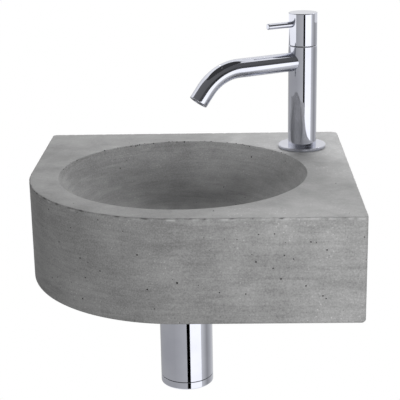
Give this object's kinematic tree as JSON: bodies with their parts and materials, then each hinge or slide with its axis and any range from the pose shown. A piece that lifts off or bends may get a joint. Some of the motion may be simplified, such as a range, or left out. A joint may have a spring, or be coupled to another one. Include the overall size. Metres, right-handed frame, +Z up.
{
  "type": "concrete hand basin",
  "caption": "Wall-hung concrete hand basin with a round bowl, one rounded front corner, a chrome pillar tap with bent spout and quarter-turn handle, a grid waste and a bottle trap.",
  "frame": {"origin": "on the flat back face, midway between the two wall bolts, 45 mm below the rim", "axes": "+Z up, +Y into the wall, +X to the right for someone who stands at the basin"},
  "size_m": [0.31, 0.301, 0.3584],
  "materials": {
    "concrete": "fair-faced grey concrete",
    "chrome": "polished plating on brass",
    "brass": "turned brass",
    "steel": "zinc-plated or stainless",
    "rubber": "matt black",
    "plastic": "white moulding",
    "ceramic": "lapped alumina"
  },
  "bodies": {
    "basin": {"basin_body": "concrete", "tap_base_flange": "chrome", "tap_column": "chrome", "tap_spout": "chrome", "aerator_housing": "chrome", "waste_body": "chrome", "waste_grid": "chrome", "trap_inlet_nut": "chrome", "trap_body": "chrome", "trap_cap": "chrome", "trap_outlet_nut": "chrome", "tap_shank": "brass", "tap_backnut": "brass", "cartridge_body": "brass", "waste_backnut": "brass", "fixing_sleeves": "steel", "tap_steel_washer": "steel", "waste_screw": "steel", "tap_base_seal": "rubber", "tap_rubber_washer": "rubber", "aerator_seal": "rubber", "cartridge_seat_seal": "rubber", "waste_gasket": "rubber", "waste_lower_gasket": "rubber", "trap_inlet_seal": "rubber", "trap_cap_seal": "rubber", "trap_outlet_seal": "rubber", "aerator_core": "plastic", "waste_washer": "plastic", "trap_dip_tube": "plastic", "fixed_ceramic_disc": "ceramic"},
    "handle": {"tap_handle": "chrome", "handle_lever": "chrome", "handle_screw": "steel", "cartridge_spindle": "brass", "spindle_ring": "rubber", "spindle_clip": "steel", "moving_ceramic_disc": "ceramic"}
  },
  "joints": [
    {"name": "handle_turn", "type": "hinge", "parent": "basin", "child": "handle", "pos_m": [0.1133, -0.0622, 0.1675], "axis": [0, 0, 1], "range_deg": [0, 90]}
  ]
}
